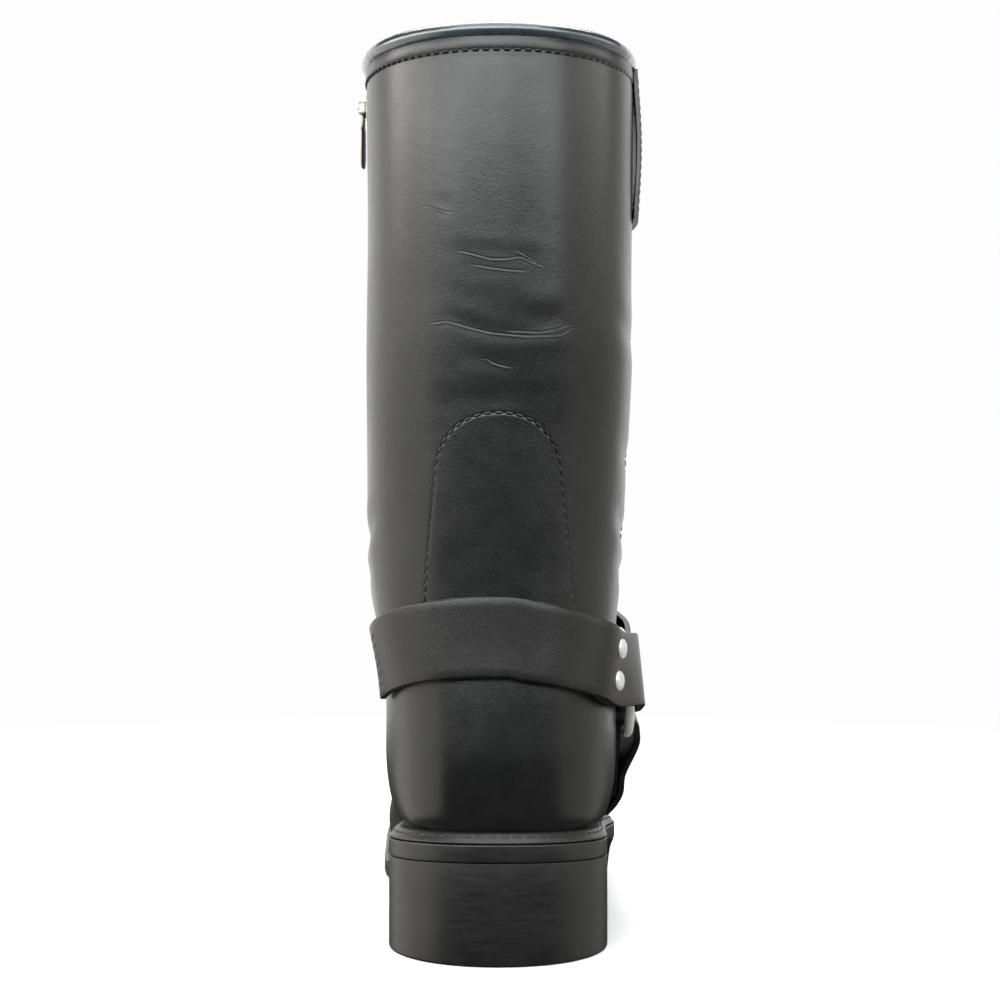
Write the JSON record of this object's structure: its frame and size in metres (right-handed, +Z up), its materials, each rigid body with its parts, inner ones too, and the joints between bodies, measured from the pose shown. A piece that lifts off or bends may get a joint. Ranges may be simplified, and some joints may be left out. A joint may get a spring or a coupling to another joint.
{
  "type": "harness boot",
  "caption": "Tall leather harness boot for the right foot, with a zip on the inner side, straps joined by a ring on the outer side, and a block heel.",
  "frame": {"origin": "middle of the heel's flat bottom, on the floor", "axes": "+Z up the shaft, +Y to the toe, +X to the outer side of the right foot"},
  "size_m": [0.1082, 0.302, 0.3267],
  "materials": {
    "upper_leather": "smooth black oiled leather, satin",
    "binding_leather": "thin black leather rolled over the collar's edge, semi-gloss",
    "strap_leather": "thick black harness leather, satin",
    "insole_leather": "plain brown insole leather",
    "welt_leather": "black stitched welt",
    "zip_cloth": "black woven zip tape",
    "zip_metal": "nickel-plated, bright",
    "nickel": "nickel-plated, bright",
    "sole_rubber": "matt black rubber"
  },
  "bodies": {
    "boot": {"upper": "upper_leather", "collar_binding": "binding_leather", "pull_loop": "strap_leather", "back_strap": "strap_leather", "front_strap": "strap_leather", "under_strap": "strap_leather", "back_strap_rivet_1": "nickel", "back_strap_rivet_2": "nickel", "front_strap_rivet_1": "nickel", "front_strap_rivet_2": "nickel", "zip_tape": "zip_cloth", "zip_teeth": "zip_metal", "zip_slider": "zip_metal", "insole": "insole_leather", "welt": "welt_leather", "outsole": "sole_rubber", "heel": "sole_rubber"},
    "ring": {"harness_ring": "nickel"},
    "pull_tab": {"zip_pull": "zip_metal"}
  },
  "joints": [
    {"name": "ring_turn", "type": "hinge", "parent": "boot", "child": "ring", "pos_m": [0.0468, 0.038, 0.089], "axis": [0.9968, 0.0522, 0.061], "continuous": true},
    {"name": "pull_swing", "type": "hinge", "parent": "boot", "child": "pull_tab", "pos_m": [-0.05227, 0.04271, 0.3089], "axis": [0.1738, 0.9848, 0], "range_deg": [0, 170]}
  ]
}
